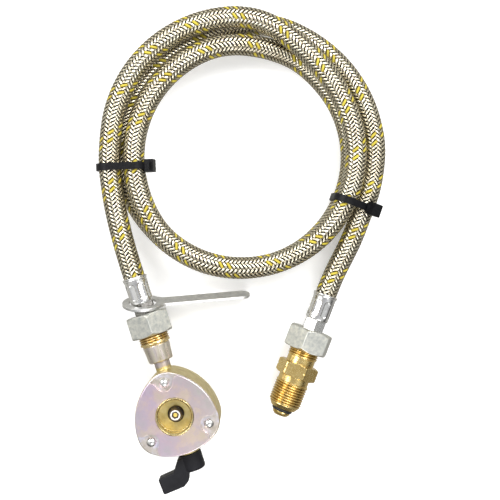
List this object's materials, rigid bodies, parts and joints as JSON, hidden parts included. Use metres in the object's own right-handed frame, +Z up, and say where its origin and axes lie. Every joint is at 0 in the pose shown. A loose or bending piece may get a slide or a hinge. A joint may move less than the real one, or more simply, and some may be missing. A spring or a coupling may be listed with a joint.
{
  "type": "propane regulator hose",
  "caption": "Clip-on gas regulator with an on/off lever, joined by a coiled braided steel hose to a bull-nose cylinder fitting with a sealing ring, with a loose spanner.",
  "frame": {"origin": "on the axis of the regulator's gas socket, at the flat of its domed side, which is the surface that the part lies on", "axes": "+Z up out of the socket, +Y along the regulator's outlet towards the hose, +X to the side where the hose lies coiled"},
  "size_m": [0.2148, 0.293, 0.0456],
  "materials": {
    "cast_gold": "zinc casting with a yellow passivated coat",
    "plate_iridescent": "zinc plate with an iridescent passivated coat",
    "zinc_bright": "bright zinc plate",
    "boss_passivated": "turned steel with a pale gold passivated coat",
    "brass": "machined brass",
    "dark_steel": "turned steel, darkened",
    "spring_steel": "spring wire",
    "rubber": "black nitrile rubber",
    "white_plastic": "white moulded plastic",
    "black_plastic": "black moulded plastic, fine grain",
    "nylon_black": "black nylon",
    "fibre": "red fibre sealing washer",
    "ferrule_steel": "stainless sleeve, crimped",
    "wire_braid": "stainless wire braid with yellow tracer wires over a rubber hose"
  },
  "bodies": {
    "regulator": {"housing": "cast_gold", "bonnet": "cast_gold", "bonnet_screws": "zinc_bright", "face_plate": "plate_iridescent", "rivets": "zinc_bright", "socket_liner": "brass", "probe": "dark_steel", "probe_seals": "rubber", "probe_tip": "white_plastic", "pin_spring": "spring_steel", "valve_seat": "brass", "relay_pin": "dark_steel", "diaphragm": "rubber", "range_spring": "spring_steel", "outlet_boss": "boss_passivated", "outlet_union": "brass", "near_washer": "fibre", "near_tail": "zinc_bright", "near_ferrule": "ferrule_steel", "hose": "wire_braid", "tie_left": "nylon_black", "tie_right": "nylon_black", "far_ferrule": "ferrule_steel", "far_tail": "zinc_bright", "far_washer": "fibre", "pol_adaptor": "brass", "pol_o_ring": "rubber"},
    "lever": {"lever": "black_plastic", "cam_shaft": "dark_steel", "shaft_seal": "rubber", "lever_screw": "zinc_bright"},
    "push_pin": {"push_pin": "brass"},
    "diaphragm_plate": {"diaphragm_plate": "zinc_bright"},
    "relay_lever": {"relay_lever": "zinc_bright"},
    "near_nut": {"near_nut": "zinc_bright"},
    "spanner": {"spanner": "zinc_bright"},
    "far_nut": {"far_nut": "zinc_bright"}
  },
  "joints": [
    {"name": "lever_turn", "type": "hinge", "parent": "regulator", "child": "lever", "pos_m": [0, -0.0276, 0.028], "axis": [0, -1, 0], "range_deg": [0, 180]},
    {"name": "push_pin_slide", "type": "slide", "parent": "regulator", "child": "push_pin", "axis": [0, 0, 1], "range_m": [0, 0.002], "deforming": ["pin_spring"]},
    {"name": "diaphragm_slide", "type": "slide", "parent": "regulator", "child": "diaphragm_plate", "axis": [0, 0, 1], "range_m": [-0.0007, 0], "stiffness_N_per_m": 2500, "deforming": ["range_spring", "diaphragm"]},
    {"name": "relay_lever_pivot", "type": "hinge", "parent": "regulator", "child": "relay_lever", "pos_m": [0, 0.006, 0.0176], "axis": [1, 0, 0], "range_deg": [0, 7]},
    {"name": "near_nut_spin", "type": "hinge", "parent": "regulator", "child": "near_nut", "pos_m": [0, 0.0597, 0.02], "axis": [0, 1, 0], "continuous": true},
    {"name": "far_nut_spin", "type": "hinge", "parent": "regulator", "child": "far_nut", "pos_m": [0.09656, 0.01687, 0.0152], "axis": [-0.6279, -0.7783, 0], "continuous": true},
    {"name": "spanner_swing", "type": "hinge", "parent": "regulator", "child": "spanner", "pos_m": [0, 0.074, 0.02], "axis": [0, 1, 0], "continuous": true}
  ],
  "couplings": [
    {"joint": "push_pin_slide", "follows": "lever_turn", "m_per_rad": 0.00063662},
    {"joint": "relay_lever_pivot", "follows": "diaphragm_slide", "rad_per_m": -166.67}
  ]
}
